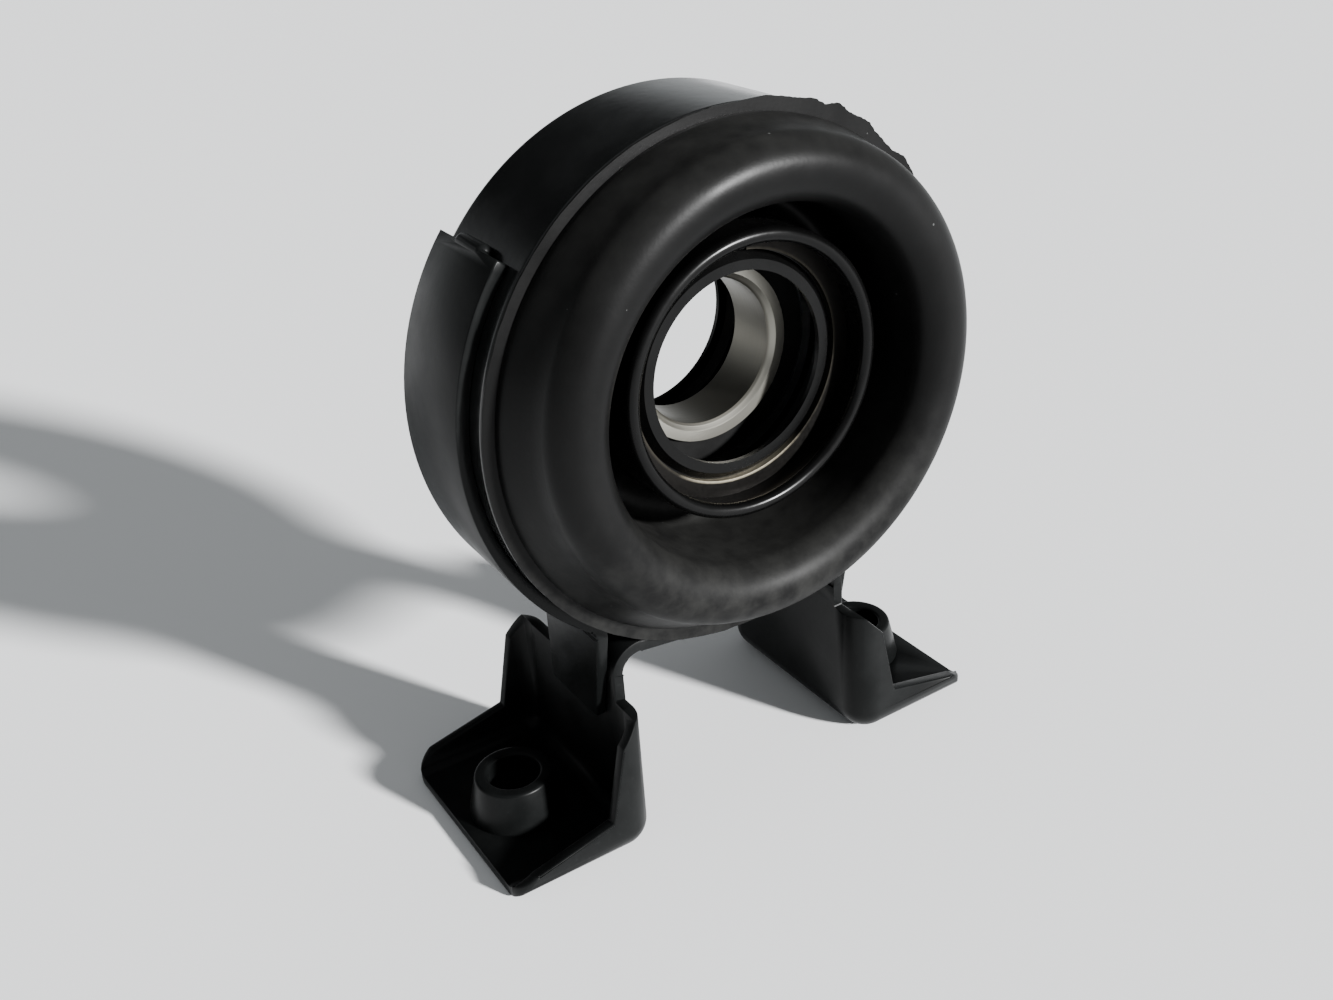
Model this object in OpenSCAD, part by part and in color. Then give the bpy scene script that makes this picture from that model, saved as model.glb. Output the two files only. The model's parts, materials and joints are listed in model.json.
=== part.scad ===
// Driveshaft centre bearing: a sealed ball bearing carried in a rubber bellows,
// inside a steel ring on a pressed stand with two bolt-down feet.
// Millimetres. The origin is the middle of the bearing's bore. The bore runs
// along Y, the rubber bulge faces -Y, and the feet stand below the ring on -Z.

/* [Bearing] */
// Diameter of the bore that takes the shaft
bore_d = 35; // [32:0.5:38]
// Outside diameter of the bearing
bearing_d = 62; // [58:0.5:66]
// Width of the inner race
inner_race_w = 16; // [15:0.5:18]
// Width of the outer race
outer_race_w = 14; // [12.5:0.5:15]
// Diameter of each ball
ball_d = 7.9; // [7:0.1:8.4]
// Distance from the balls' pitch circle to the land of each race
land_offset = 2.8; // [2.4:0.1:3.2]
// Chamfer at both ends of the bore
bore_chamfer = 1.5; // [0.5:0.1:2]
// Chamfer at the outer race's outside edges
race_chamfer = 1; // [0.4:0.1:1.4]
// Thickness of the cage's sheet
cage_t = 0.9; // [0.6:0.1:1.1]
// Radial width of the cage's band
cage_w = 3; // [2.4:0.1:3.4]
// Diameter of the cage rivets' shanks
rivet_d = 1.1; // [0.8:0.1:1.3]
// Thickness of the bearing's own seals
seal_t = 0.9; // [0.6:0.1:1.2]
// Depth of each seal's face below the outer race's face
seal_recess = 0.4; // [0.2:0.1:0.7]
// Width of the ledge that each seal sits on
seal_ledge = 0.7; // [0.4:0.1:1]

/* [Sleeve and shields] */
// Wall of the sleeve that carries the bearing
sleeve_wall = 2.5; // [2:0.1:3.2]
// Distance of the sleeve's front lip ahead of the bearing's middle
sleeve_front = 27.3; // [25:0.1:31]
// Distance of the sleeve's rear end behind the bearing's middle
sleeve_rear = 22.5; // [20.5:0.1:27]
// How far the front lip is rolled in past the sleeve's bore
lip_roll = 1; // [0.5:0.1:1.5]
// Width of the shoulder at the sleeve's rear end
shoulder_w = 4; // [3:0.1:5]
// Diameter of the hole in both dust shields
shield_hole_d = 45; // [42:0.5:48]
// Thickness of the dust shields' sheet
shield_t = 1.2; // [0.8:0.1:1.5]
// How far the middle of each shield is dished outwards
shield_dish = 1.8; // [1:0.1:2.2]
// Length of the skirt with which each shield grips the sleeve
shield_skirt = 5; // [3:0.1:6]
// Distance of the front shield's seat ahead of the bearing's middle
shield_seat = 18; // [16:0.1:20]
// Thickness of the retaining ring
retainer_t = 1.5; // [1:0.1:2]
// Radial width of the retaining ring inside the sleeve's bore
retainer_w = 4; // [3:0.1:5]
// Depth of the retaining ring's groove in the sleeve
retainer_groove = 0.8; // [0.5:0.1:1.2]
// Angle left open between the retaining ring's ends
retainer_split = 14; // [8:1:24]

/* [Ring] */
// Outside diameter of the ring
ring_d = 126.4; // [123:0.2:130]
// Wall of the ring
ring_wall = 2.8; // [2:0.1:3.2]
// Depth of the ring along the bore
ring_depth = 32.3; // [30:0.1:38]
// Distance of the ring's front edge ahead of the bearing's middle
ring_front = 18; // [16:0.1:20]
// How far the ring's axis lies below the bore's axis
ring_drop = 5.2; // [3:0.1:6.5]
// Rounding of the ring's rear edge
ring_edge_r = 1.5; // [0.6:0.1:1.9]

/* [Cushion] */
// Diameter of the bulge's crest
crest_d = 97; // [95:0.2:100]
// Distance of the bulge's crest ahead of the bearing's middle
crest_front = 37.5; // [34:0.1:42]
// Rounding radius of the bulge's nose
nose_r = 7.4; // [6.5:0.1:8.2]
// How far the bulge's axis lies below the bore's axis
bulge_drop = 1.5; // [0.5:0.1:3]
// Wall of the rubber
rubber_t = 5; // [4:0.1:6]
// Depth of the rubber bonded to the inside of the ring
ring_bond = 26; // [20:0.5:29]
// Length of the rubber bonded to the outside of the sleeve
sleeve_bond = 26; // [20:0.5:30]
// Thickness of the rubber bonded to the outside of the sleeve
bond_t = 2.2; // [1.5:0.1:3]
// Rounding at the bottom of the groove between sleeve and bulge
groove_r = 3; // [1.5:0.1:3.4]

/* [Stand] */
// Sheet of the stand and the arms
sheet_t = 3; // [2.5:0.1:3.5]
// Height of the bore's axis above the floor
bore_h = 118.2; // [114:0.2:126]
// Clear width between the legs
leg_gap = 64.8; // [61:0.2:68]
// Width of the bridge, the legs and the arms
strap_w = 27; // [25:0.5:30]
// Half angle over which the bridge lies against the ring
hug_angle = 7; // [4:0.5:10]
// Radius at mid-sheet where the bridge turns down into a leg
bridge_bend_r = 6.5; // [5:0.1:8]
// Distance of each foot's outer edge from the middle
foot_reach = 71.6; // [69:0.2:78]
// Depth of each foot along the bore
foot_depth = 62; // [57:0.5:68]
// How far the feet's middle lies behind the bearing's middle
foot_shift = 7.3; // [5:0.1:9]
// Outer radius of the upright corners between web and side walls
foot_corner_r = 7.5; // [7:0.5:10]
// Outer radius of the bend between the base and its walls
foot_bend_r = 7; // [5:0.5:7]
// Radius of the base's outer corners in plan
tip_corner_r = 6; // [3:0.5:9]
// Height of the side walls where they meet the web
ear_h = 38; // [36:0.5:41]
// Length of the side walls' tall part, from the web's face
ear_reach = 7.8; // [6:0.1:9]
// Height of the tall part at its outer corner
ear_end_h = 32.5; // [28:0.5:35]
// Distance from the web's face to the start of the low walls
rail_start = 12.2; // [10:0.1:14]
// Height of the low walls at their start
rail_h = 12; // [10.5:0.1:14]
// Height of the low walls near the outer edge
rail_end_h = 7; // [6:0.1:9]
// Length of the slope at the outer end of the low walls
tip_run = 5; // [4:0.5:9]
// Height of the low walls at the outer edge
tip_h = 3.8; // [3.6:0.1:5]

/* [Arms] */
// Angle above level at which each arm ends on the ring
arm_angle = 38.3; // [30:0.1:50]
// Radius at mid-sheet where an arm turns down along its leg
arm_bend_r = 5; // [3.5:0.1:7]
// Height above the floor at which an arm ends on its leg
arm_end_h = 32; // [26:0.5:36]
// How much narrower the arm's front edge is at its lower end
arm_taper = 5; // [2:0.5:8]
// Length of the weld bead at each arm's upper end
weld_len = 9; // [5:0.5:14]
// Radius of the weld bead
weld_r = 1.8; // [1.2:0.1:2.2]

/* [Bolting] */
// Distance between the two bolt holes
bolt_spacing = 112; // [108:0.5:116]
// Diameter of the bolt holes
bolt_hole_d = 13.5; // [11:0.5:15]
// Outside diameter of the tapered collars round the bolt holes, at their base
collar_d = 25; // [21:0.5:26]
// Outside diameter of the collars at their top
collar_top_d = 20.4; // [20:0.2:21]
// Height of the collars' tops above the floor
collar_h = 14; // [10:0.5:16]
// Chamfer at the collars' upper edges
collar_chamfer = 1; // [0.5:0.1:1.6]

/* [Hidden] */
$fn = 96;
BALLS = 11;

// Clearances, and how far the flank's front end is tucked under the bulge
ball_play = 0.03;
pocket_gap = 0.12;
seal_gap = 0.3;
shield_gap = 0.3;
flank_tuck = 1;

// Angle and length by which neighbouring stretches of one sheet run into each other
bend_lap = 4;
flat_lap = 1;

// Bearing
bore_r = bore_d / 2;
bearing_r = bearing_d / 2;
ball_r = ball_d / 2;
pitch_r = (bore_r + bearing_r) / 2;
groove_curve = ball_r * 1.04;
inner_land_r = pitch_r - land_offset;
outer_land_r = pitch_r + land_offset;
seal_face = outer_race_w / 2 - seal_recess;
ball_step = 360 / BALLS;
rivet_head_t = cage_t * 0.6;

// Sleeve and shields
sleeve_r = bearing_r + sleeve_wall;
lip_r = (sleeve_wall + lip_roll) / 2;
shoulder_y = sleeve_rear - sleeve_wall;
shield_hole_r = shield_hole_d / 2;

// Ring and cushion
ring_r = ring_d / 2;
ring_in = ring_r - ring_wall;
ring_rear = ring_depth - ring_front;
nose_y = crest_front - nose_r;
crest_r = crest_d / 2;
bellows_in = crest_r - nose_r;
bellows_out = crest_r + nose_r;
flank_r = bellows_out - (ring_drop - bulge_drop) - flank_tuck;
bond_front = sleeve_bond - sleeve_rear + shoulder_w;
web_rear = sleeve_bond / 2 - bond_front;

// Stand and arms
strap_front = ring_rear - strap_w;
mid_r = ring_r + sheet_t / 2;
leg_in = leg_gap / 2;
leg_mid = leg_in + sheet_t / 2;
arm_mid = leg_mid + sheet_t;
hug_end = [mid_r * sin(hug_angle), -ring_drop - mid_r * cos(hug_angle)];
bend_x = leg_mid - bridge_bend_r;
flat_run = (bend_x - bridge_bend_r * sin(hug_angle) - hug_end[0]) / cos(hug_angle);
bend_z = hug_end[1] + flat_run * sin(hug_angle) - bridge_bend_r * cos(hug_angle);
arm_bend_x = arm_mid + arm_bend_r;
arm_bend_drop = sqrt(pow(mid_r + arm_bend_r, 2) - pow(arm_bend_x, 2));
arm_lean = atan2(arm_bend_drop, arm_bend_x);
foot_front = foot_shift - foot_depth / 2;
foot_rear = foot_shift + foot_depth / 2;
bolt_x = bolt_spacing / 2;
collar_r = collar_d / 2;
collar_top_r = collar_top_d / 2;
bolt_hole_r = bolt_hole_d / 2;

// Turns a profile of radius and distance along the bore about the bore's axis
module turned(sweep = 360, start = 0) {
    rotate([-90, 0, 0])
        rotate([0, 0, start])
            rotate_extrude(angle = sweep)
                children();
}

// Stretches an outline drawn in X and Z along the bore, between two places
module across(front, rear) {
    translate([0, rear, 0])
        rotate([90, 0, 0])
            linear_extrude(rear - front)
                children();
}

// A pie slice that reaches past the given radius
module slice(from, to, radius) {
    steps = 6;
    reach = radius * 1.3;
    polygon(concat([[0, 0]], [for (i = [0:steps])
        let (a = from + (to - from) * i / steps) [reach * cos(a), reach * sin(a)]]));
}

// The section of a sheet bent round a centre, between two angles
module sheet_arc(inner, from, to) {
    intersection() {
        difference() {
            circle(inner + sheet_t);
            circle(inner);
        }
        slice(from, to, inner + sheet_t);
    }
}

// Places its children once for each ball
module each_ball(offset) {
    for (i = [0:BALLS - 1])
        rotate([0, (i + offset) * ball_step, 0])
            translate([0, 0, pitch_r])
                children();
}

// Plan of a foot, set in from its outer faces, with the two rounded web corners
module foot_plan(inset, far) {
    corner = foot_corner_r - inset;
    near = leg_in + inset;
    front = foot_front + inset;
    rear = foot_rear - inset;
    translate([near + corner, front])
        square([far - near - corner, rear - front]);
    translate([near, front + corner])
        square([2 * corner, rear - front - 2 * corner]);
    for (y = [front + corner, rear - corner])
        translate([near + corner, y])
            circle(corner);
}

// The body of a foot, set in from its outer faces: upright walls above rounded bottom edges
module foot_block(inset, far, height) {
    corner = foot_corner_r - inset;
    bend = foot_bend_r - inset;
    near = leg_in + inset;
    front = foot_front + inset;
    rear = foot_rear - inset;
    base = inset - bore_h;
    translate([0, 0, base + bend])
        linear_extrude(height - bend)
            foot_plan(inset, far);
    translate([0, 0, base])
        linear_extrude(2 * bend)
            foot_plan(inset + bend, far);
    translate([near + bend, front + corner, base + bend])
        rotate([-90, 0, 0])
            cylinder(r = bend, h = rear - front - 2 * corner);
    for (y = [front + bend, rear - bend])
        translate([near + corner, y, base + bend])
            rotate([0, 90, 0])
                cylinder(r = bend, h = far - near - corner);
    for (y = [front + corner, rear - corner])
        translate([near + corner, y, base + bend])
            rotate_extrude()
                intersection() {
                    translate([corner - bend, 0])
                        circle(bend);
                    translate([0, -bend])
                        square([corner, bend]);
                }
}

// Side view of a foot: tall ears at the web, low rails and a sloped tip
module foot_side() {
    translate([0, -bore_h])
        polygon([
            [leg_in - sheet_t, -sheet_t],
            [leg_in - sheet_t, ear_h],
            [leg_in + sheet_t, ear_h],
            [leg_in + ear_reach, ear_end_h],
            [leg_in + rail_start, rail_h],
            [foot_reach - tip_run, rail_end_h],
            [foot_reach, tip_h],
            [foot_reach, -sheet_t]]);
}

// Plan of the base with its rounded outer corners
module tip_plan() {
    run = foot_reach - leg_in - tip_corner_r;
    translate([leg_in, foot_front])
        square([run, foot_depth]);
    translate([leg_in, foot_front + tip_corner_r])
        square([run + tip_corner_r, foot_depth - 2 * tip_corner_r]);
    for (y = [foot_front + tip_corner_r, foot_rear - tip_corner_r])
        translate([foot_reach - tip_corner_r, y])
            circle(tip_corner_r);
}

// One pressed foot: web, two shaped side walls and a base open to the outside
module foot() {
    difference() {
        intersection() {
            difference() {
                foot_block(0, foot_reach + sheet_t, ear_h + sheet_t);
                foot_block(sheet_t, foot_reach + 2 * sheet_t, ear_h + sheet_t);
            }
            across(foot_front - sheet_t, foot_rear + sheet_t)
                foot_side();
            translate([0, 0, -bore_h - sheet_t])
                linear_extrude(ear_h + 2 * sheet_t)
                    tip_plan();
        }
        translate([bolt_x, foot_shift, -bore_h - sheet_t])
            cylinder(r = bolt_hole_r, h = 3 * sheet_t);
    }
}

// Half of the strap's outline: bridge, bend and leg down to the foot
module strap_side() {
    translate([0, -ring_drop])
        sheet_arc(ring_r, -90 - bend_lap, hug_angle - 90);
    translate(hug_end)
        rotate(hug_angle)
            translate([-flat_lap, -sheet_t / 2])
                square([flat_run + flat_lap, sheet_t]);
    translate([bend_x, bend_z])
        sheet_arc(bridge_bend_r - sheet_t / 2, -bend_lap, 90 + hug_angle + bend_lap);
    translate([leg_in, ear_h - bore_h])
        square([sheet_t, bend_z + bore_h - ear_h]);
}

module stand() {
    color("#26272a")
        union() {
            across(strap_front, ring_rear) {
                strap_side();
                mirror([1, 0])
                    strap_side();
            }
            half_stand();
            mirror([1, 0, 0])
                half_stand();
        }
}

// The right-hand foot, with the root of its leg let into the web
module half_stand() {
    foot();
    across(max(strap_front, foot_front + foot_corner_r), ring_rear)
        translate([leg_in, ear_h - bore_h - sheet_t])
            square([sheet_t, 2 * sheet_t]);
}

// The right-hand arm: saddle on the ring, bend and leg with a tapered front edge
module arm() {
    union() {
        arm_sheet();
        weld();
    }
}

// The bent strip of an arm
module arm_sheet() {
    difference() {
        across(strap_front, ring_rear) {
            translate([0, -ring_drop])
                sheet_arc(ring_r, -arm_lean, arm_angle);
            translate([arm_bend_x, -ring_drop - arm_bend_drop])
                sheet_arc(arm_bend_r - sheet_t / 2, 180 - arm_lean - bend_lap, 180 + bend_lap);
            translate([leg_in + sheet_t, arm_end_h - bore_h])
                square([sheet_t, bore_h - arm_end_h - ring_drop - arm_bend_drop]);
        }
        translate([leg_in, 0, 0])
            rotate([90, 0, 90])
                linear_extrude(3 * sheet_t)
                    polygon([
                        [strap_front, -ring_drop - arm_bend_drop],
                        [strap_front + arm_taper, arm_end_h - bore_h],
                        [strap_front + arm_taper, arm_end_h - bore_h - sheet_t],
                        [strap_front - sheet_t, arm_end_h - bore_h - sheet_t],
                        [strap_front - sheet_t, -ring_drop - arm_bend_drop]]);
    }
}

// Weld bead along the upper edge of the arm, on the ring
module weld() {
    mid_y = (strap_front + ring_rear) / 2;
    difference() {
        translate([0, mid_y, -ring_drop])
            rotate([0, -arm_angle, 0])
                translate([mid_r, 0, 0]) {
                    rotate([90, 0, 0])
                        cylinder(r = weld_r, h = weld_len, center = true);
                    for (y = [-weld_len / 2, weld_len / 2])
                        translate([0, y, 0])
                            sphere(weld_r);
                }
        translate([0, mid_y, -ring_drop])
            rotate([90, 0, 0])
                cylinder(r = ring_r, h = 2 * weld_len, center = true);
    }
}

module arm_right() {
    color("#2b2c2f")
        arm();
}

module arm_left() {
    color("#2b2c2f")
        mirror([1, 0, 0])
            arm();
}

module outer_ring() {
    color("#232427")
        translate([0, 0, -ring_drop])
            turned() {
                translate([ring_in, -ring_front])
                    square([ring_wall, ring_depth - ring_edge_r]);
                translate([ring_in, ring_rear - 2 * ring_edge_r])
                    square([ring_wall - ring_edge_r, 2 * ring_edge_r]);
                translate([ring_r - ring_edge_r, ring_rear - ring_edge_r])
                    circle(ring_edge_r);
            }
}

module rubber_cushion() {
    color("#1b1b1c")
        union() {
            ring_side();
            bulge();
            sleeve_side();
        }
}

// Rubber bonded inside the ring, with the slanted flank that runs under the bulge
module ring_side() {
    translate([0, 0, -ring_drop])
        turned()
            polygon([
                [ring_in, ring_bond - ring_front],
                [ring_in, -ring_front],
                [flank_r, -nose_y],
                [flank_r - rubber_t, -nose_y],
                [ring_in - rubber_t, -ring_front],
                [ring_in - rubber_t, ring_bond - ring_front]]);
}

// The forward bulge: rounded nose, outer leg to the rim and inner leg to the web
module bulge() {
    translate([0, 0, -bulge_drop])
        turned() {
            difference() {
                translate([crest_r, -nose_y])
                    circle(nose_r);
                translate([crest_r, -nose_y])
                    circle(nose_r - rubber_t);
                translate([crest_r - 2 * nose_r, -nose_y])
                    square([4 * nose_r, 2 * nose_r]);
            }
            translate([bellows_out - rubber_t, -nose_y])
                square([rubber_t, nose_y - ring_front]);
            translate([bellows_in, -nose_y])
                square([rubber_t, nose_y + web_rear]);
        }
}

// Rubber bonded round the sleeve, with the web and the rounded bottom of the groove
module sleeve_side() {
    groove_x = sleeve_r + bond_t + groove_r;
    web_front = web_rear - rubber_t;
    turned() {
        translate([sleeve_r, -bond_front])
            square([bond_t, sleeve_bond]);
        difference() {
            translate([sleeve_r, web_front - groove_r])
                square([bellows_in - sleeve_r + rubber_t / 2, rubber_t + groove_r]);
            translate([groove_x, web_front - groove_r])
                circle(groove_r);
            translate([groove_x, web_front - 3 * groove_r])
                square([bellows_in, 3 * groove_r]);
        }
    }
}

module bearing_sleeve() {
    color("#2d2d2f")
        turned()
            difference() {
                union() {
                    translate([bearing_r, lip_r - sleeve_front])
                        square([sleeve_wall, sleeve_front + sleeve_rear - lip_r]);
                    translate([bearing_r - shoulder_w, shoulder_y])
                        square([shoulder_w + sleeve_wall, sleeve_wall]);
                    translate([sleeve_r - lip_r, lip_r - sleeve_front])
                        circle(lip_r);
                }
                translate([bearing_r, -shield_seat - retainer_t])
                    square([retainer_groove, retainer_t]);
            }
}

// Section of a dust shield whose seat is at zero, dished towards the front
module shield_section(seat_w) {
    rim = bearing_r - seat_w - shield_gap;
    polygon([
        [bearing_r, 0],
        [rim, 0],
        [rim - shield_dish, -shield_dish],
        [shield_hole_r, -shield_dish],
        [shield_hole_r, shield_t - shield_dish],
        [rim - shield_dish, shield_t - shield_dish],
        [rim, shield_t],
        [bearing_r - shield_t, shield_t],
        [bearing_r - shield_t, shield_skirt],
        [bearing_r, shield_skirt]]);
}

module front_dust_shield() {
    color("#1f1f21")
        turned()
            translate([0, -shield_seat])
                shield_section(retainer_w);
}

module rear_dust_shield() {
    color("#1f1f21")
        turned()
            translate([0, shoulder_y])
                mirror([0, 1])
                    shield_section(shoulder_w);
}

module retaining_ring() {
    color("#c4c6c8")
        turned(360 - retainer_split, 270 + retainer_split / 2)
            translate([bearing_r - retainer_w, -shield_seat - retainer_t])
                square([retainer_w + retainer_groove, retainer_t]);
}

module bolt_collars() {
    color("#303134")
        for (x = [-bolt_x, bolt_x])
            translate([x, foot_shift, sheet_t - bore_h])
                rotate_extrude()
                    polygon([
                        [bolt_hole_r, 0],
                        [collar_r, 0],
                        [collar_top_r, collar_h - sheet_t - collar_chamfer],
                        [collar_top_r - collar_chamfer, collar_h - sheet_t],
                        [bolt_hole_r + collar_chamfer, collar_h - sheet_t],
                        [bolt_hole_r, collar_h - sheet_t - collar_chamfer]]);
}

module outer_race() {
    half = outer_race_w / 2;
    color("#b9bcbf")
        turned()
            difference() {
                polygon([
                    [outer_land_r, -half],
                    [bearing_r - race_chamfer, -half],
                    [bearing_r, race_chamfer - half],
                    [bearing_r, half - race_chamfer],
                    [bearing_r - race_chamfer, half],
                    [outer_land_r, half]]);
                translate([pitch_r + ball_r + ball_play - groove_curve, 0])
                    circle(groove_curve);
                for (y = [-half - seal_t, seal_face - seal_t])
                    translate([outer_land_r - seal_ledge, y])
                        square([2 * seal_ledge, 2 * seal_t + seal_recess]);
            }
}

module inner_race() {
    half = inner_race_w / 2;
    color("#d3d4d5")
        turned()
            difference() {
                polygon([
                    [bore_r, bore_chamfer - half],
                    [bore_r + bore_chamfer, -half],
                    [inner_land_r, -half],
                    [inner_land_r, half],
                    [bore_r + bore_chamfer, half],
                    [bore_r, half - bore_chamfer]]);
                translate([pitch_r - ball_r - ball_play + groove_curve, 0])
                    circle(groove_curve);
            }
}

// One of the bearing's seals, on its ledge in the outer race
module seal(y) {
    color("#242426")
        turned()
            translate([inner_land_r + seal_gap, y])
                square([outer_land_r + seal_ledge - inner_land_r - seal_gap, seal_t]);
}

module front_seal() {
    seal(-seal_face);
}

module rear_seal() {
    seal(seal_face - seal_t);
}

// One pressed half of the cage, behind the balls' middle plane
module cage_half() {
    depth = ball_r + pocket_gap + cage_t;
    difference() {
        intersection() {
            turned()
                translate([pitch_r - cage_w / 2, 0])
                    square([cage_w, 2 * depth]);
            union() {
                turned()
                    translate([pitch_r - cage_w, 0])
                        square([2 * cage_w, cage_t]);
                each_ball(0)
                    sphere(depth);
            }
        }
        each_ball(0)
            sphere(ball_r + pocket_gap);
        each_ball(0.5)
            rotate([90, 0, 0])
                cylinder(d = rivet_d, h = 4 * cage_t, center = true);
    }
}

module cage_rear() {
    color("#9d9a92")
        cage_half();
}

module cage_front() {
    color("#9d9a92")
        mirror([0, 1, 0])
            cage_half();
}

module cage_rivets() {
    color("#a9a69e")
        each_ball(0.5) {
            rotate([90, 0, 0])
                cylinder(d = rivet_d, h = 2 * cage_t, center = true);
            for (y = [-cage_t - rivet_head_t, cage_t])
                translate([0, y, 0])
                    rotate([-90, 0, 0])
                        cylinder(r = rivet_d, h = rivet_head_t);
        }
}

module ball(i) {
    color("#dcdddf")
        rotate([0, (i - 1) * ball_step, 0])
            translate([0, 0, pitch_r])
                sphere(ball_r);
}

stand();
arm_left();
arm_right();
outer_ring();
rubber_cushion();
bearing_sleeve();
front_dust_shield();
rear_dust_shield();
retaining_ring();
bolt_collars();
outer_race();
inner_race();
front_seal();
rear_seal();
cage_front();
cage_rear();
cage_rivets();
for (i = [1:BALLS])
    ball(i);
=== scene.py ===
# %% [markdown]
# # Driveshaft centre bearing
# A ball bearing sits in a rubber bellows, inside a black steel ring on a pressed stand. The solid model
# is loaded first and stays fixed. This script gives it finished surfaces: softened sheet-metal edges,
# turned collars, a smooth moulded bellows with its torn flash, and a material for every piece.

import json
import math
import random

import bpy
from mathutils import Matrix, Vector
from mathutils.bvhtree import BVHTree

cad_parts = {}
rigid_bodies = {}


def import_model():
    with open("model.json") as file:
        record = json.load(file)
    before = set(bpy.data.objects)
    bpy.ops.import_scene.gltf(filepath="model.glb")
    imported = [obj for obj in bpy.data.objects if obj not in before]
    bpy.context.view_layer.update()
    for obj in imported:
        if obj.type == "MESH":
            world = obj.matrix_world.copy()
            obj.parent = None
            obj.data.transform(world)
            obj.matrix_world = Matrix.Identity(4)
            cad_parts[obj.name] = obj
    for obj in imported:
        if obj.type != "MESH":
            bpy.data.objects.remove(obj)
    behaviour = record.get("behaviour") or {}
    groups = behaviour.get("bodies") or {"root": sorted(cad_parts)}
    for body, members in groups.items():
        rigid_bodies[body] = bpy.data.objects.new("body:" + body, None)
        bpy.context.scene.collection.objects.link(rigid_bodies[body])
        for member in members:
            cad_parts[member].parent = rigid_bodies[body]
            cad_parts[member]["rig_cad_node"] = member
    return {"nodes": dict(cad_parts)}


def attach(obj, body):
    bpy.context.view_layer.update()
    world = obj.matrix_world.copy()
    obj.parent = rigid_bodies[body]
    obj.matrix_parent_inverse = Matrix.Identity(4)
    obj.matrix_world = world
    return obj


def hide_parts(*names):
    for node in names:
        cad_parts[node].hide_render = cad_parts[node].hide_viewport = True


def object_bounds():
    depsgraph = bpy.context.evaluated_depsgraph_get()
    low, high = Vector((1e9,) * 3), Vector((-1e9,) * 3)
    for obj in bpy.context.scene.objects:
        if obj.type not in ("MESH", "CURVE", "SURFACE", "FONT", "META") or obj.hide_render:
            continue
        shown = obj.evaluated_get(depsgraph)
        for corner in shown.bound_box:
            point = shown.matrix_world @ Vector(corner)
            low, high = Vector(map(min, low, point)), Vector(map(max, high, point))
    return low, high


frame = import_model()
cad_low, cad_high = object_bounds()
nodes = frame["nodes"]
MM = 0.001
print("solid model:", len(nodes), "pieces, box in mm", [round(v / MM, 1) for v in cad_high - cad_low])

# %% [markdown]
# ## Camera
# The viewpoint was worked out from the ring's two edges, the arms and the feet: about 31 degrees to the
# left of the front, 29 degrees above, and tipped by 4 degrees. A camera can be aimed at a target, but
# placing it by three directions, to its right, up and back, keeps the tilt exact.

# %% Place the camera
PHOTO_WIDTH, FOCAL = 1333, 1378.4   # pixels
FILM_WIDTH = 36                     # mm
CAMERA_PLACE = (-161.0, -252.6, 122.7)
turn, rise, tip = math.radians(-30.99), math.radians(28.69), math.radians(-3.97)
back = Vector((math.sin(turn) * math.cos(rise), -math.cos(turn) * math.cos(rise), math.sin(rise)))
level = Vector((math.cos(turn), math.sin(turn), 0))
above = back.cross(level)
right = level * math.cos(tip) + above * math.sin(tip)
up = above * math.cos(tip) - level * math.sin(tip)
camera = bpy.data.objects.new("camera", bpy.data.cameras.new("camera"))
bpy.context.collection.objects.link(camera)
camera.data.sensor_width = FILM_WIDTH
camera.data.lens = FILM_WIDTH * FOCAL / PHOTO_WIDTH
camera.data.clip_start = 10 * MM
turned_to = Matrix((right, up, back)).transposed().to_4x4()
camera.matrix_world = Matrix.Translation(Vector(CAMERA_PLACE) * MM) @ turned_to
bpy.context.scene.camera = camera
print("camera lens", round(camera.data.lens, 2), "mm")

# %% [markdown]
# ## Colours and nodes
# Colours are written as the hex values that a screen shows, and one function turns them into the linear
# numbers that the renderer mixes. Another adds one shader node with its settings. The rest are short
# names for the nodes that every finish below needs: a noise, a change of range, a mix and a bump.

# %% Colour and node helpers
def colour(hex_value):
    parts = [int(hex_value[i:i + 2], 16) / 255 for i in (1, 3, 5)]
    return tuple(p / 12.92 if p <= 0.04045 else ((p + 0.055) / 1.055) ** 2.4 for p in parts) + (1,)


def add(tree, kind, inputs=None, **settings):
    node = tree.nodes.new(kind)
    for key, value in settings.items():
        setattr(node, key, value)
    for key, value in (inputs or {}).items():
        if isinstance(value, bpy.types.NodeSocket):
            tree.links.new(value, node.inputs[key])
        else:
            node.inputs[key].default_value = value
    return node


def noise(tree, place, size_mm, detail, roughness=0.5):
    """A noise whose features are about this many millimetres wide."""
    return add(tree, "ShaderNodeTexNoise", {"Vector": place, "Scale": 1 / (size_mm * MM), "Detail": detail,
                                            "Roughness": roughness}).outputs["Fac"]


def ranged(tree, value, low, high, to_low=0.0, to_high=1.0):
    return add(tree, "ShaderNodeMapRange", {"Value": value, "From Min": low, "From Max": high,
                                            "To Min": to_low, "To Max": to_high}).outputs["Result"]


def math_node(tree, operation, *values):
    return add(tree, "ShaderNodeMath", dict(enumerate(values)), operation=operation).outputs["Value"]


def blend(tree, factor, first, second):
    return add(tree, "ShaderNodeMix", {"Factor": factor, "A": first, "B": second},
               data_type="RGBA").outputs["Result"]


def bumps(tree, height, strength, depth_mm):
    return add(tree, "ShaderNodeBump", {"Height": height, "Strength": strength,
                                        "Distance": depth_mm * MM}).outputs["Normal"]


def start_material(name):
    material = bpy.data.materials.new(name)
    material.use_nodes = True
    tree = material.node_tree
    return material, tree, tree.nodes["Principled BSDF"], add(tree, "ShaderNodeTexCoord").outputs["Object"]


def wire(tree, shader, tint, rough, normal):
    for socket, name in ((tint, "Base Color"), (rough, "Roughness"), (normal, "Normal")):
        tree.links.new(socket, shader.inputs[name])


print("helpers ready, mid grey is", round(colour("#808080")[0], 3), "in linear light")

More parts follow.
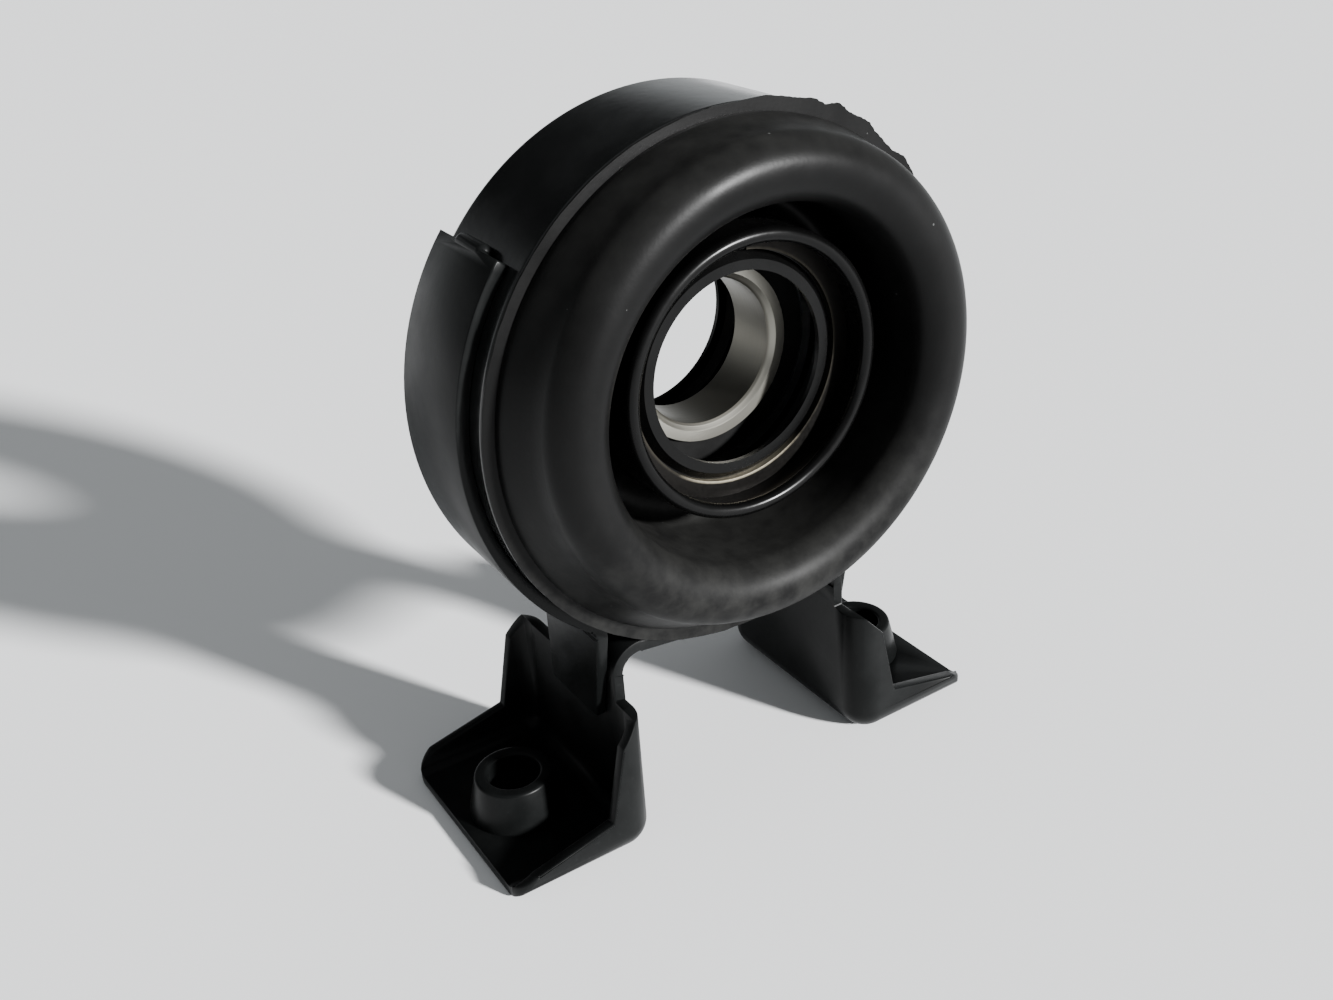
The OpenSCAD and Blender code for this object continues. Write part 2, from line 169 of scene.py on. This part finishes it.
# %% [markdown]
# ## Black enamel on pressed steel
# The stand, the arms and the ring are sprayed with a thin black enamel. It gives the eye a semi-gloss
# with a faint orange-peel ripple, duller in patches where it was handled, and a little grey dust. A plain
# black would do from afar, but noises at the real sizes of these marks hold up from close by too.

# %% Black enamel
HANDLED_MM, GRIT_MM, PEEL_MM = 16, 1.1, 2.2


def black_enamel(name, base, dust, rough_low, rough_high, shine):
    material, tree, shader, place = start_material(name)
    patches = noise(tree, place, HANDLED_MM, 5.0, 0.6)
    haze = ranged(tree, patches, 0.45, 0.75, 0.0, 0.55)
    grit = ranged(tree, noise(tree, place, GRIT_MM, 3.0), 0.62, 0.74, 0.0, 0.5)
    film = math_node(tree, "MAXIMUM", haze, grit)
    wire(tree, shader, blend(tree, film, colour(base), colour(dust)),
         ranged(tree, patches, 0.3, 0.7, rough_low, rough_high),
         bumps(tree, noise(tree, place, PEEL_MM, 2.0), 0.12, 0.15))
    shader.inputs["Specular IOR Level"].default_value = shine
    return material


bracket_enamel = black_enamel("bracket_enamel", "#0a0b0b", "#161717", 0.28, 0.42, 0.09)
ring_enamel = black_enamel("ring_enamel", "#090a0a", "#161717", 0.12, 0.22, 0.5)
print("enamels:", bracket_enamel.name, ring_enamel.name)

# %% [markdown]
# ## Moulded rubber
# The bellows is black natural rubber with a satin mould skin. A grey bloom lies on it in soft patches,
# where it faces up a lighter tone stands partly for dust and partly for painted skylight from above, the
# lower crest is rubbed chalky and dull, and a few pale specks stick to it. Each is one mask that mixes in
# a lighter tone, so each can be set on its own.

# %% Moulded rubber
BLOOM_MM, DUST_AND_SKYLIGHT_MM, CHALK_MM, SPECK_MM, SKIN_MM = 22, 5, 7, 9, 0.9
CHALK_TOP, CHALK_FULL = -12, -44   # heights in mm between which the rubbed look sets in
SPECK_SHARE, CHALK_ROUGH = 0.03, 0.14
SPECK = "#3c3d3c"


def moulded_rubber(name, base, bloom, dust, rough_low, rough_high):
    material, tree, shader, place = start_material(name)
    cloud = noise(tree, place, BLOOM_MM, 6.0, 0.62)
    tint = blend(tree, ranged(tree, cloud, 0.42, 0.74, 0.0, 0.5), colour(base), colour(bloom))

    # Upward-facing surfaces get the lighter tone: partly dust, partly painted skylight from above.
    normal = add(tree, "ShaderNodeNewGeometry").outputs["Normal"]
    facing = add(tree, "ShaderNodeSeparateXYZ", {"Vector": normal})
    upward = ranged(tree, facing.outputs["Z"], 0.2, 0.95)
    dust_and_painted_skylight = math_node(tree, "MULTIPLY", upward, noise(tree, place, DUST_AND_SKYLIGHT_MM, 4.0))
    tint = blend(tree, dust_and_painted_skylight, tint, colour(dust))

    split = add(tree, "ShaderNodeSeparateXYZ", {"Vector": place})
    low = ranged(tree, split.outputs["Z"], CHALK_TOP * MM, CHALK_FULL * MM)
    rubbed = ranged(tree, noise(tree, place, CHALK_MM, 6.0, 0.68), 0.4, 0.74)
    tint = blend(tree, math_node(tree, "MULTIPLY", low, rubbed), tint, colour(dust))

    cells = add(tree, "ShaderNodeTexVoronoi", {"Vector": place, "Scale": 1 / (SPECK_MM * MM),
                                               "Randomness": 1.0})
    speck = math_node(tree, "LESS_THAN", cells.outputs["Distance"], SPECK_SHARE)
    rough = ranged(tree, cloud, 0.3, 0.7, rough_low, rough_high)
    wire(tree, shader, blend(tree, speck, tint, colour(SPECK)),
         math_node(tree, "MULTIPLY_ADD", low, CHALK_ROUGH, rough),
         bumps(tree, noise(tree, place, SKIN_MM, 3.0), 0.16, 0.12))
    shader.inputs["IOR"].default_value = 1.52
    shader.inputs["Specular IOR Level"].default_value = 0.075
    return material


# In both rubbers the lighter third tone gives the dust and painted skylight on upward faces, and the chalky
# lower crest.
bellows_rubber = moulded_rubber("bellows_rubber", "#090909", "#101010", "#1f1f1e", 0.32, 0.46)
seal_rubber = moulded_rubber("seal_rubber", "#0a0a0a", "#161616", "#1c1c1c", 0.5, 0.68)
print("rubbers:", bellows_rubber.name, seal_rubber.name)

# %% [markdown]
# ## Ground steel
# The bore, the races, the cage and the balls are bare steel. Grinding leaves fine lines that run round
# the bore, so the pattern changes only along the bore's axis: a one-dimensional noise read from Y does
# that, drawn at 0.25 mm because the real 0.02 mm lines would not show. Beyond the bore's radius a second,
# lighter tone covers the inner race's front and chamfer: partly a polished finish, partly a painted
# highlight.

# %% Ground steel
SMEAR_MM, FACE_HIGHLIGHT_FADE_MM = 7, 0.4
SMEAR = "#6f6c64"


def from_axis(tree, split):
    """Distance from the bore's axis."""
    flat = add(tree, "ShaderNodeCombineXYZ", {"X": split.outputs["X"], "Z": split.outputs["Z"]})
    return add(tree, "ShaderNodeVectorMath", {0: flat.outputs["Vector"]}, operation="LENGTH").outputs["Value"]


def ground_steel(name, base, rough_low, rough_high, line_mm, face_and_highlight=None, highlight_from_mm=0):
    material, tree, shader, place = start_material(name)
    split = add(tree, "ShaderNodeSeparateXYZ", {"Vector": place})
    along = math_node(tree, "MULTIPLY", split.outputs["Y"], 1 / (line_mm * MM))
    lines = add(tree, "ShaderNodeTexNoise", {"W": along, "Scale": 1.0, "Detail": 4.0},
                noise_dimensions="1D").outputs["Fac"]
    smears = ranged(tree, noise(tree, place, SMEAR_MM, 4.0), 0.4, 0.7, 0.0, 0.35)
    tint = blend(tree, smears, colour(base), colour(SMEAR))
    # Beyond the bore's radius a lighter tone: partly polished steel, partly a painted highlight.
    if face_and_highlight:
        face_highlight = ranged(tree, from_axis(tree, split), highlight_from_mm * MM, (highlight_from_mm + FACE_HIGHLIGHT_FADE_MM) * MM)
        tint = blend(tree, face_highlight, tint, colour(face_and_highlight))
    wire(tree, shader, tint, ranged(tree, lines, 0.3, 0.7, rough_low, rough_high),
         bumps(tree, lines, 0.08, 0.05))
    shader.inputs["Metallic"].default_value = 1.0
    return material


# Its second, lighter tone is partly a polished finish and partly a painted highlight.
bore_steel = ground_steel("bore_steel", "#68665f", 0.33, 0.48, 0.25, face_and_highlight="#94928a", highlight_from_mm=17.7)
race_steel = ground_steel("race_steel", "#b4b6b8", 0.22, 0.38, 0.3)
cage_steel = ground_steel("cage_steel", "#8d8a82", 0.34, 0.5, 0.8)
ball_steel = ground_steel("ball_steel", "#d6d7d8", 0.06, 0.12, 1.5)
print("steels:", [m.name for m in (bore_steel, race_steel, cage_steel, ball_steel)])

# %% [markdown]
# ## Phosphated spring steel
# The retaining ring has a dark phosphate coat. On its inner edge, low down, a bright metal tone is a
# painted highlight: it gives the thin tan arc under the bore. Two masks, by radius and by height, are
# multiplied, because a painted line would not follow the ring.

# %% Phosphated spring steel
GRAIN_MM, HIGHLIGHT_FADE_MM = 0.6, 6


def phosphate_with_painted_highlight(name, coat, steel, edge_mm, fade_mm, highlight_below_mm):
    material, tree, shader, place = start_material(name)
    split = add(tree, "ShaderNodeSeparateXYZ", {"Vector": place})
    # The radius and height masks place a painted highlight on the low inner edge.
    edge = ranged(tree, from_axis(tree, split), (edge_mm + fade_mm) * MM, edge_mm * MM)
    low = ranged(tree, split.outputs["Z"], highlight_below_mm * MM, (highlight_below_mm - HIGHLIGHT_FADE_MM) * MM, 0.04, 1.0)
    painted_highlight = math_node(tree, "MULTIPLY", edge, low)
    grain = noise(tree, place, GRAIN_MM, 4.0)
    wire(tree, shader, blend(tree, painted_highlight, colour(coat), colour(steel)),
         ranged(tree, grain, 0.3, 0.7, 0.42, 0.58), bumps(tree, grain, 0.1, 0.05))
    shader.inputs["Metallic"].default_value = 1.0
    return material


# The bright edge tone low down is a painted highlight.
spring_steel = phosphate_with_painted_highlight("phosphated_spring_steel", "#1c1b1a", "#b4ac98", 27.2, 0.5, -21)
print("spring steel:", spring_steel.name)

# %% [markdown]
# ## Finishing a piece
# An operator acts on all that is selected, so each piece starts from a clean selection. To finish it, it
# gets its material, smooth shading up to an angle, the body that it rides on, and its material slot.
# Where it stands for a solid of the loaded model, that solid is no longer shown.

# %% Finish a piece
def only(piece):
    bpy.ops.object.select_all(action="DESELECT")
    piece.select_set(True)
    bpy.context.view_layer.objects.active = piece


def finish_piece(piece, material, body="housing", stands_for=(), angle=32):
    piece.data.materials.clear()
    piece.data.materials.append(material)
    only(piece)
    bpy.ops.object.shade_smooth_by_angle(angle=math.radians(angle))
    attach(piece, body)
    if stands_for:
        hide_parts(*stands_for)
    print(piece.name, "-", len(piece.data.polygons), "faces")


# %% [markdown]
# ## Sheet metal
# The stand and the two arms keep the shape of their solids. Only their edges change, from knife-sharp to
# the half millimetre that pressed and painted sheet has. A copy of a solid's mesh is loose triangles: it
# is merged, its flat faces are joined, and a small bevel rounds the sharp edges. A bevel tears where an
# edge ends in a tight corner, so those edges are left out, and a point that strays is put back.

# %% Choose the edges that have room for a bevel
STRAIGHT, ROOM = math.radians(120), 2.2


def leave_tight_corners(mesh, width):
    """Deselects the edges that end in a corner too tight for a bevel of this width."""
    at = {}
    for edge in mesh.edges:
        if edge.select:
            first, second = (mesh.vertices[i].co for i in edge.vertices)
            for here, arm in zip(edge.vertices, (second - first, first - second)):
                at.setdefault(here, []).append(arm)
    tight = set()
    for here, arms in at.items():
        turns = len(arms) != 2 or arms[0].angle(arms[1]) < STRAIGHT
        if turns and min(arm.length for arm in arms) < ROOM * width:
            tight.add(here)
    for edge in mesh.edges:
        if edge.select and tight.intersection(edge.vertices):
            edge.select = False
    return sum(edge.select for edge in mesh.edges)


# %% Soften the sheet-metal edges
SHEET_EDGE_MM, SAME_POINT_MM = 0.45, 0.002
FLAT, SHARP = math.radians(0.4), math.radians(50)


def softened_copy(node, name, width):
    piece = nodes[node].copy()
    piece.data = nodes[node].data.copy()
    piece.name = name
    piece.parent = None
    del piece["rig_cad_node"]
    bpy.context.collection.objects.link(piece)
    only(piece)
    bpy.ops.object.mode_set(mode="EDIT")
    bpy.ops.mesh.select_all(action="SELECT")
    bpy.ops.mesh.remove_doubles(threshold=SAME_POINT_MM * MM)
    bpy.ops.mesh.dissolve_limited(angle_limit=FLAT)
    bpy.ops.mesh.vert_connect_concave()
    bpy.ops.mesh.select_mode(type="EDGE")
    bpy.ops.mesh.select_all(action="DESELECT")
    bpy.ops.mesh.edges_select_sharp(sharpness=SHARP)
    bpy.ops.object.mode_set(mode="OBJECT")
    kept = leave_tight_corners(piece.data, width * MM)
    points = [vertex.co.copy() for vertex in piece.data.vertices]
    box = [[choose(axis) for axis in zip(*points)] for choose in (min, max)]
    skin = BVHTree.FromPolygons(points, [polygon.vertices for polygon in piece.data.polygons])
    bpy.ops.object.mode_set(mode="EDIT")
    bpy.ops.mesh.bevel(offset=width * MM, segments=2, affect="EDGES")
    bpy.ops.object.mode_set(mode="OBJECT")
    for vertex in piece.data.vertices:
        spot, _, _, gap = skin.find_nearest(vertex.co)
        if gap > width * MM:
            vertex.co = spot
        vertex.co = [min(max(value, low), high) for value, low, high in zip(vertex.co, *box)]
    print(name, "-", kept, "edges rounded by", width, "mm")
    return piece


for node in ("stand", "arm_left", "arm_right"):
    pressed = softened_copy(node, node + "_pressed", SHEET_EDGE_MM)
    finish_piece(pressed, bracket_enamel, stands_for=[node])

# %% [markdown]
# ## Outer ring
# The ring is a drawn tube with a rounded rear edge. Its section is drawn from a circle's points and spun
# round the ring's own axis, which lies lower than the bore. A bevelled copy of the solid would do too,
# but its long thin triangles leave streaks in the gloss. An extra point beside each rounding keeps the
# long faces flat in the light.

# %% Draw a section and spin it
START_R_MM, SEAM_MM = 5, 0.001


def arc(cx, cy, radius, start, end, count):
    turns = [math.radians(start + (end - start) * i / count) for i in range(count + 1)]
    return [(cx + radius * math.cos(turn), cy + radius * math.sin(turn)) for turn in turns]


def drawn(name, points):
    """A closed loop through these points, made from a circle."""
    bpy.ops.object.select_all(action="DESELECT")
    bpy.ops.mesh.primitive_circle_add(vertices=len(points), radius=START_R_MM * MM)
    loop = bpy.context.active_object
    loop.name = name
    for vertex, point in zip(loop.data.vertices, points):
        vertex.co = Vector(point) * MM
    return loop


def spin(loop, steps, centre, axis):
    bpy.ops.object.mode_set(mode="EDIT")
    bpy.ops.mesh.select_all(action="SELECT")
    bpy.ops.mesh.spin(steps=steps, angle=math.tau, center=[value * MM for value in centre], axis=axis)
    bpy.ops.mesh.select_all(action="SELECT")
    bpy.ops.mesh.remove_doubles(threshold=SEAM_MM * MM)
    bpy.ops.mesh.normals_make_consistent(inside=False)
    bpy.ops.object.mode_set(mode="OBJECT")


# %% Spin the ring
ALONG_BORE, BORE_CENTRE = (0, 1, 0), (0, 0, 0)
RING_DROP, RING_EDGE, RING_INSIDE, RING_FRONT, RING_REAR = 5.2, 63.2, 60.4, -18.0, 14.3
FRONT_R, REAR_R, INNER_R, BESIDE = 0.5, 1.5, 0.4, 0.3
RING_STEPS = 240
section = [(RING_INSIDE, RING_FRONT), (RING_EDGE - FRONT_R - BESIDE, RING_FRONT)]
section += arc(RING_EDGE - FRONT_R, RING_FRONT + FRONT_R, FRONT_R, -90, 0, 4)
section += [(RING_EDGE, RING_FRONT + FRONT_R + BESIDE), (RING_EDGE, RING_REAR - REAR_R - BESIDE)]
section += arc(RING_EDGE - REAR_R, RING_REAR - REAR_R, REAR_R, 0, 90, 8)
section += arc(RING_INSIDE + INNER_R, RING_REAR - INNER_R, INNER_R, 90, 180, 4)
section.append((RING_INSIDE, RING_REAR - INNER_R - BESIDE))
ring = drawn("ring_drawn", [(r, y, -RING_DROP) for r, y in section])
spin(ring, RING_STEPS, (0, 0, -RING_DROP), ALONG_BORE)
for vertex in ring.data.vertices:
    vertex.co.z = min(vertex.co.z, cad_high.z)
finish_piece(ring, ring_enamel, stands_for=["outer_ring"])

# %% [markdown]
# ## Bolt collars
# A tapered collar stands on the base of each foot and takes the bolt. It was turned in a lathe, so its
# section is drawn once, with rounded upper edges, and spun round the hole of each foot. Spinning gives
# the cone an even shading, which the solid's triangles do not.

# %% Spin the two collars
HOLE_X, HOLE_Y, HOLE_R = 56.0, 7.3, 6.75
SEAT_Z, TOP_Z, BASE_R, TOP_R, EDGE_R = -115.2, -104.2, 12.5, 10.2, 0.9
COLLAR_STEPS = 96
collar = [(HOLE_R, SEAT_Z), (BASE_R - 0.4, SEAT_Z), (BASE_R - 0.1, SEAT_Z + 0.12),
          (BASE_R - 0.05, SEAT_Z + 0.5)]
collar += arc(TOP_R - EDGE_R, TOP_Z - EDGE_R, EDGE_R, 8, 90, 6)
collar += arc(HOLE_R + EDGE_R, TOP_Z - EDGE_R, EDGE_R, 90, 180, 6)
collars = []
for hole_x in (-HOLE_X, HOLE_X):
    collars.append(drawn("collars_turned", [(hole_x + r, HOLE_Y, z) for r, z in collar]))
    spin(collars[-1], COLLAR_STEPS, (hole_x, HOLE_Y, 0), (0, 0, 1))
only(collars[0])
collars[1].select_set(True)
bpy.ops.object.join()
finish_piece(collars[0], bracket_enamel, stands_for=["bolt_collars"], angle=40)

# %% [markdown]
# ## Rubber bellows
# On the bench the bellows is one moulding: bonded inside the ring, folded forward into a bulge, then back
# along a deep groove to the sleeve. It hangs a little low in its ring, so ring and bulge do not share an
# axis. Three turned bodies would leave seams, so one section is spun round the bore, and each circle of
# points is then lowered to the axis of what it is bonded to, which leaves one smooth skin.

# %% Shape the section of the bellows
BULGE_DROP = 1.5
CREST, NOSE, NOSE_Y, WALL = 48.5, 7.4, -30.08, 5.0
RIM, SLEEVE, BOND = RING_INSIDE, 33.5, 35.7
INNER_LEG = CREST - NOSE
GROOVE = (INNER_LEG - SLEEVE) / 2


def lowered(points, first, last=None):
    """Section points, each with how far its circle is lowered, even along the points or changing."""
    change = 0 if last is None else (last - first) / (len(points) - 1)
    return [(r, y, first + change * i) for i, (r, y) in enumerate(points)]


flank = [(RIM, -19.0), (59.9, -20.6), (59.0, -22.6), (57.9, -25.0), (56.8, -27.4)]
ease = (BULGE_DROP - RING_DROP) / (len(flank) + 1)
section = lowered([(RIM, 8.0), (RIM, -5.0), (RIM, -16.0), (RIM, -18.0)], RING_DROP)
section += lowered(flank, RING_DROP + ease, BULGE_DROP - ease)
section += lowered(arc(CREST, NOSE_Y, NOSE, 0, -180, 24), BULGE_DROP)
section += lowered([(INNER_LEG, -24.0), (INNER_LEG, -18.0), (INNER_LEG, -12.5)], BULGE_DROP, 0.9)
section += lowered(arc(SLEEVE + GROOVE, -11.0, GROOVE, 0, 170, 16), 0.8, 0.0)
section += lowered([(SLEEVE, -9.5), (SLEEVE, 18.5), (BOND - 0.6, 18.5), (BOND, 17.9), (BOND, 7.5),
                    (BOND + 2.0, 5.5)], 0.0)
section += lowered([(INNER_LEG + WALL - 1.5, 5.5), (INNER_LEG + WALL, 4.0), (INNER_LEG + WALL, -12.0)],
                   0.8, BULGE_DROP)
section += lowered(arc(CREST, NOSE_Y, NOSE - WALL, 180, 360, 10), BULGE_DROP)
section += lowered([(RIM - WALL - 1.5, -22.0)], (RING_DROP + BULGE_DROP) / 2)
section += lowered([(RIM - WALL, -17.0), (RIM - WALL, 7.0), (RIM - WALL + 1.0, 8.0)], RING_DROP)
print("section of the bellows:", len(section), "points")

# %% [markdown]
# ### From section to skin
# The spin carries the section's vertex group round with it. A Displace modifier then reads that group
# as how far each point sinks, so one modifier does what would take three axes.

# %% Spin the section and lower its circles
BELLOWS_STEPS = 160
bellows = drawn("rubber_bellows", [(r, y, 0) for r, y, _ in section])
sag = bellows.vertex_groups.new(name="sag")
for vertex, (_, _, drop) in zip(bellows.data.vertices, section):
    sag.add([vertex.index], drop / RING_DROP, "REPLACE")
spin(bellows, BELLOWS_STEPS, BORE_CENTRE, ALONG_BORE)
lower = bellows.modifiers.new("lower", "DISPLACE")
lower.direction = "Z"
lower.vertex_group = sag.name
lower.mid_level = 0
lower.strength = -RING_DROP * MM
bpy.ops.object.modifier_apply(modifier=lower.name)
finish_piece(bellows, bellows_rubber, stands_for=["rubber_cushion"], angle=50)

# %% [markdown]
# ## Rubber flash
# Where the mould closed on the ring, a thin skin of rubber lies over the ring's front edge. Along the
# upper right it was squeezed out further and has torn. A small four-sided loop is spun all the way round,
# and the radius of its outer points is then varied: coarse teeth for the tear and a finer fray on top,
# from a fixed seed so that it is the same every time.

# %% Spin the flash
FLASH_STEPS = 720
INNER_EDGE = RIM - 0.6
corners = [(INNER_EDGE, RING_FRONT - 0.9), (RING_EDGE, RING_FRONT - 0.6),
           (RING_EDGE, RING_FRONT - 0.05), (INNER_EDGE, RING_FRONT - 0.05)]
flash = drawn("rubber_flash", [(r, y, 0) for r, y in corners])
spin(flash, FLASH_STEPS, BORE_CENTRE, ALONG_BORE)
print("flash:", len(flash.data.vertices), "points")

# %% Tear its outer edge
TOOTH_STEPS, FRAY = 6, 0.12
TOOTH_LOW, TOOTH_HIGH = -0.35, 0.75
# Each tear: its middle and half its width in degrees, and how far it reaches out in mm
TEARS = [(73.0, 21.0, 1.35), (52.0, 16.0, 0.9), (33.0, 12.0, 1.1)]
draw = random.Random(7)
coarse = [draw.uniform(TOOTH_LOW, TOOTH_HIGH) for _ in range(FLASH_STEPS // TOOTH_STEPS)]
jags = []
for i in range(FLASH_STEPS):
    tooth, share = i // TOOTH_STEPS, i % TOOTH_STEPS / TOOTH_STEPS
    jags.append(coarse[tooth - 1] * (1 - share) + coarse[tooth] * share + draw.uniform(-FRAY, FRAY))
for vertex in flash.data.vertices:
    radius = math.hypot(vertex.co.x, vertex.co.z)
    around = math.degrees(math.atan2(vertex.co.z, vertex.co.x)) % 360
    if radius > (RING_EDGE - 0.5) * MM:
        jag = jags[round(around / 360 * FLASH_STEPS) % FLASH_STEPS]
        swell = 0
        for middle, half, reach in TEARS:
            swell += reach * math.cos(math.pi / 2 * min(abs(around - middle) / half, 1)) ** 0.5
        stretch = (RING_EDGE - 0.1 + 0.2 * jag + swell * (0.8 + 0.55 * jag)) * MM / radius
        vertex.co.x *= stretch
        vertex.co.z = min(vertex.co.z * stretch, RING_EDGE * MM)
    vertex.co.z -= RING_DROP * MM
finish_piece(flash, bellows_rubber, angle=60)

# %% [markdown]
# ## Finishes of the solids that stay
# The sleeve, the shields and the bearing keep their own meshes, which are round and fine enough. Their
# material slots get the finishes made above. The sleeve and the shields have a darker, smoother coat.

# %% Dress the remaining solids
sleeve_coat = black_enamel("sleeve_coat", "#040404", "#090909", 0.2, 0.32, 0.12)
finishes = {
    "bearing_sleeve": sleeve_coat, "front_dust_shield": sleeve_coat, "rear_dust_shield": sleeve_coat,
    "retaining_ring": spring_steel, "outer_race": race_steel, "inner_race": bore_steel,
    "front_seal": seal_rubber, "rear_seal": seal_rubber,
    "cage_front": cage_steel, "cage_rear": cage_steel, "cage_rivets": cage_steel,
}
finishes.update({node: ball_steel for node in nodes if node.startswith("ball_")})
for node, material in finishes.items():
    for slot in nodes[node].material_slots:
        slot.material = material
print("dressed", len(finishes), "solids")

# %% [markdown]
# ## Floor
# A plain pale floor under the feet. It is large, so that its far edge lies at the horizon from any side,
# and matt, so that it takes a shadow without mirroring the part.

# %% Floor
FLOOR_SIZE = 60   # metres
bpy.ops.object.select_all(action="DESELECT")
bpy.ops.mesh.primitive_plane_add(size=FLOOR_SIZE, location=(0, 0, cad_low.z))
floor = bpy.context.active_object
floor.name = "floor"
floor_card, _, shader, _ = start_material("floor_card")
shader.inputs["Base Color"].default_value = colour("#f8f9fa")
shader.inputs["Roughness"].default_value = 0.8
floor.data.materials.append(floor_card)
print("floor at", round(cad_low.z / MM, 1), "mm")

# %% [markdown]
# ## Light
# One low, broad sun stands in front and to the right: it throws the long shadow to the left and leaves
# the inside of the near foot dark. A pale sky fills in. Behind the part the sky is bright low down and
# dark above, like a white card on a table, because glossy black paint shows little but what it mirrors:
# that card makes the soft light along the top of the ring, and the dark above it the ring's black side.

# %% Light
FILL, CARD_BRIGHT, CARD_DARK = 0.42, 0.92, 0.05
SUN_FROM, SUN_ENERGY, SUN_WIDTH = (0.405, -0.855, 0.312), 14.7, math.radians(5)
world = bpy.data.worlds.new("studio")
bpy.context.scene.world = world
world.use_nodes = True
tree = world.node_tree
sky = tree.nodes["Background"]
sky.inputs["Color"].default_value = colour("#e6eaec")
direction = add(tree, "ShaderNodeTexCoord").outputs["Generated"]
way = add(tree, "ShaderNodeSeparateXYZ", {"Vector": direction})
card = ranged(tree, way.outputs["Z"], 0.19, 0.41, CARD_BRIGHT, CARD_DARK)
tree.links.new(ranged(tree, way.outputs["Y"], 0.3, 0.7, FILL, card), sky.inputs["Strength"])
sun = bpy.data.objects.new("sun", bpy.data.lights.new("sun", "SUN"))
sun.data.energy = SUN_ENERGY
sun.data.angle = SUN_WIDTH
bpy.context.collection.objects.link(sun)
sun.rotation_euler = Vector(SUN_FROM).to_track_quat("Z", "Y").to_euler()
print("sun of energy", SUN_ENERGY, "and sky of strength", FILL)
